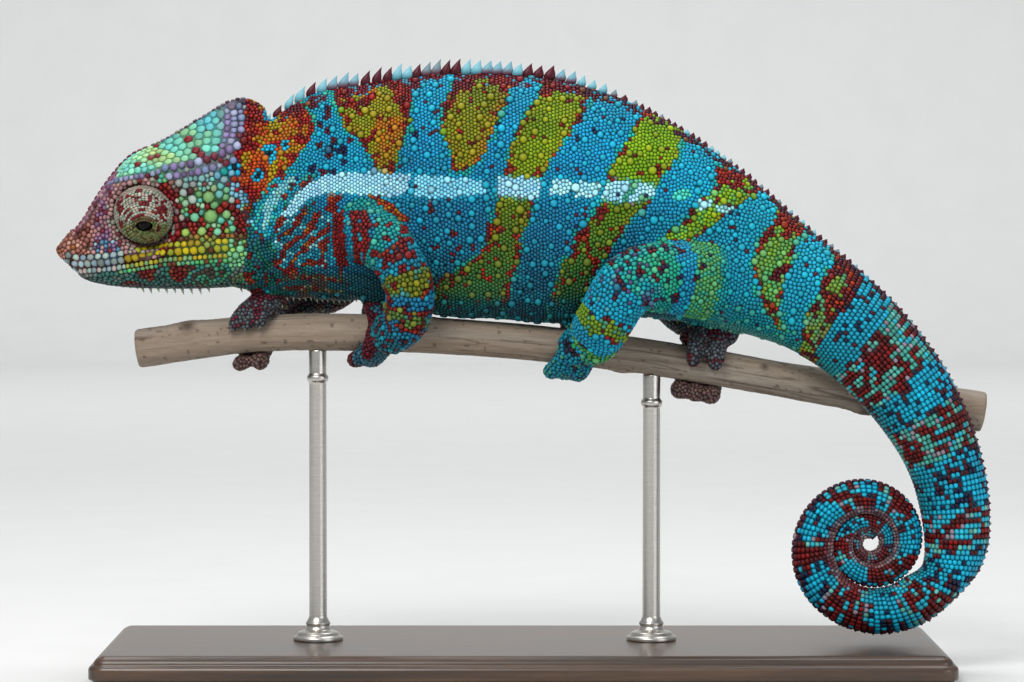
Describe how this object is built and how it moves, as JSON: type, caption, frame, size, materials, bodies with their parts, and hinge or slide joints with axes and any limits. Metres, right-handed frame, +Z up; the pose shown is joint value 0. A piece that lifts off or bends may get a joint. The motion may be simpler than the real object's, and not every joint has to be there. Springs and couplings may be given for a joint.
{
  "type": "panther chameleon",
  "caption": "Life-size still model of an adult male panther chameleon gripping a short cut branch, tail coiled below it, on a flat base with two rods.",
  "frame": {"origin": "centre of the stand base's underside", "axes": "+Z up; the head points to -X and the tail to +X; the animal's left side faces -Y"},
  "size_m": [0.2615, 0.084, 0.171],
  "materials": {
    "skin": "scaly skin, turquoise with yellow-green and dark red bands",
    "eye": "wet black",
    "bark": "dry bark, finely ridged along the branch",
    "stand_wood": "dark stained wood, satin",
    "stand_metal": "satin"
  },
  "bodies": {
    "root": {"head": "skin", "casque": "skin", "lower_jaw": "skin", "eye_turret_left": "skin", "eye_turret_right": "skin", "neck": "skin", "chest": "skin", "belly": "skin", "pelvis": "skin", "tail_1_root": "skin", "tail_2_hanging": "skin", "tail_3_outer_coil": "skin", "tail_4_middle_coil": "skin", "tail_5_tip": "skin", "upper_arm_left": "skin", "forearm_left": "skin", "hand_left": "skin", "upper_arm_right": "skin", "forearm_right": "skin", "hand_right": "skin", "thigh_left": "skin", "shank_left": "skin", "foot_left": "skin", "thigh_right": "skin", "shank_right": "skin", "foot_right": "skin", "eyeball_left": "eye", "eyeball_right": "eye", "perch_branch": "bark", "stand_base": "stand_wood", "stand_rod_front": "stand_metal", "stand_rod_rear": "stand_metal"}
  },
  "joints": []
}
